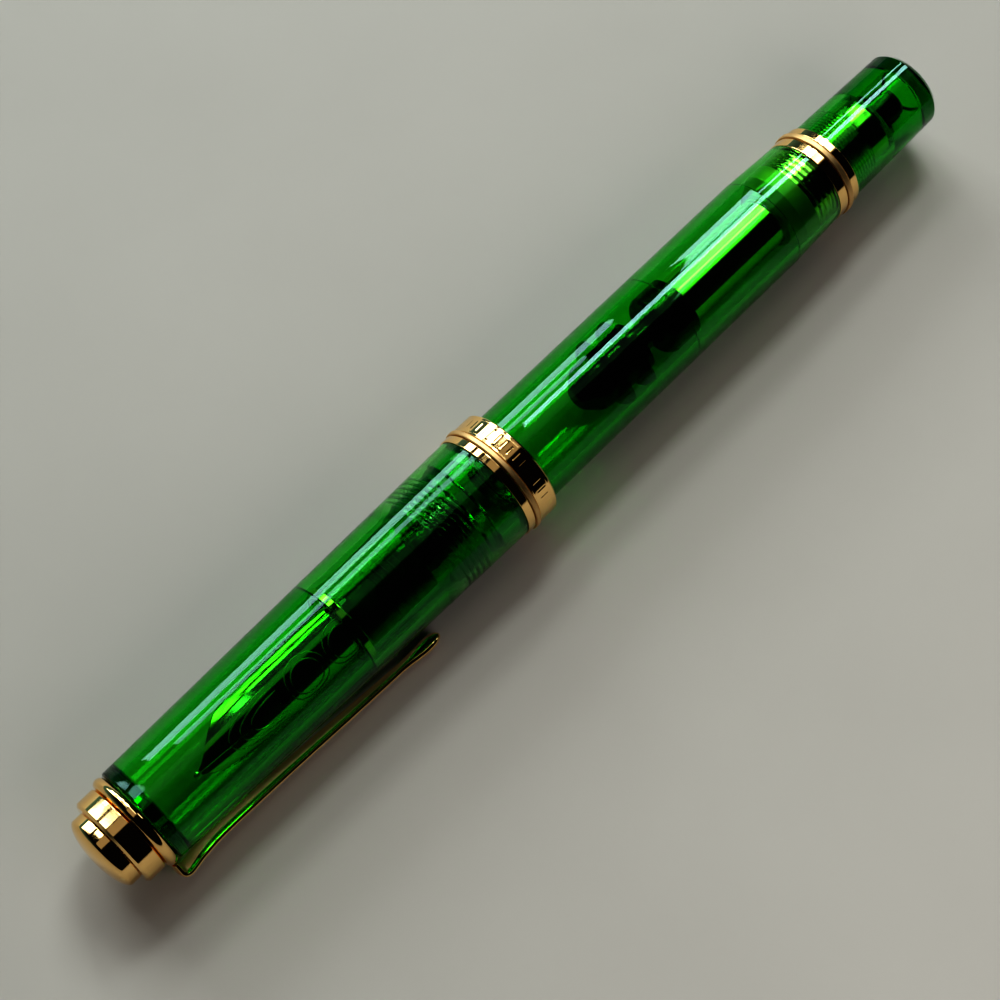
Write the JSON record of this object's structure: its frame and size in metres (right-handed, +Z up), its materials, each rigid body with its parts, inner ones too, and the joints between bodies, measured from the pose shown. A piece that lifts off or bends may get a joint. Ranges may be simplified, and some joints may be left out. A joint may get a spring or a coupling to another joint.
{
  "type": "fountain pen",
  "caption": "Capped piston-filling fountain pen in clear green resin with gold-plated trim, a sprung clip, a screw cap and a turning end knob.",
  "frame": {"origin": "centre of the bounding box's underside, on the surface that the pen lies on", "axes": "+X along the pen's axis from the crown to the piston knob, +Y away from the clip, +Z up"},
  "size_m": [0.1414, 0.0158, 0.0153],
  "materials": {
    "green_resin": "clear, polished, deep green",
    "polished_gold": "polished gold plate",
    "satin_gold": "satin gold plate",
    "brass": "bare turned brass",
    "black_plastic": "black moulded plastic",
    "nib_gold": "polished gold with a pale plated middle",
    "tipping_metal": "ground hard metal"
  },
  "bodies": {
    "barrel": {"barrel": "green_resin", "barrel_ring": "polished_gold", "barrel_ring_raised": "satin_gold", "mechanism_sleeve": "brass", "rod_guide": "black_plastic", "grip_section": "green_resin", "section_ring": "polished_gold", "nib": "nib_gold", "tipping_left": "tipping_metal", "tipping_right": "tipping_metal", "feed": "black_plastic", "nib_collar": "black_plastic"},
    "cap_puller": {"crown_washer": "brass"},
    "cap_lifter": {"cap_band_narrow": "polished_gold"},
    "cap": {"cap_shell": "green_resin", "cap_band_raised": "satin_gold", "cap_band_wide": "polished_gold", "crown_disc": "polished_gold", "crown_drum": "polished_gold", "crown_stud": "brass", "clip_ring": "polished_gold"},
    "clip": {"clip_arm": "polished_gold"},
    "piston": {"piston_head": "black_plastic", "piston_rod": "black_plastic"},
    "knob_lifter": {"knob_ring": "polished_gold"},
    "knob": {"knob": "green_resin", "spindle": "black_plastic"}
  },
  "joints": [
    {"name": "cap_pull", "type": "slide", "parent": "barrel", "child": "cap_puller", "axis": [-1, 0, 0], "range_m": [0, 0.06]},
    {"name": "cap_rise", "type": "slide", "parent": "cap_puller", "child": "cap_lifter", "axis": [-1, 0, 0], "range_m": [0, 0.0024]},
    {"name": "cap_turn", "type": "hinge", "parent": "cap_lifter", "child": "cap", "pos_m": [-0.07075, 0.00025, 0.00763], "axis": [-1, 0, 0], "range_deg": [0, 270]},
    {"name": "clip_flex", "type": "hinge", "parent": "cap", "child": "clip", "pos_m": [-0.0644, -0.00504, 0.00275], "axis": [0, 0.6786, -0.7345], "range_deg": [0, 3], "stiffness_Nm_per_rad": 3},
    {"name": "knob_rise", "type": "slide", "parent": "barrel", "child": "knob_lifter", "axis": [1, 0, 0], "range_m": [0, 0.00455]},
    {"name": "knob_turn", "type": "hinge", "parent": "knob_lifter", "child": "knob", "pos_m": [0.07075, 0.00025, 0.00763], "axis": [1, 0, 0], "range_deg": [0, 1260]},
    {"name": "piston_travel", "type": "slide", "parent": "barrel", "child": "piston", "axis": [-1, 0, 0], "range_m": [0, 0.014]}
  ],
  "couplings": [
    {"joint": "cap_rise", "follows": "cap_turn", "m_per_rad": 0.000509},
    {"joint": "knob_turn", "follows": "knob_rise", "rad_per_m": 4833.2},
    {"joint": "piston_travel", "follows": "knob_rise", "ratio": 3.0765}
  ]
}
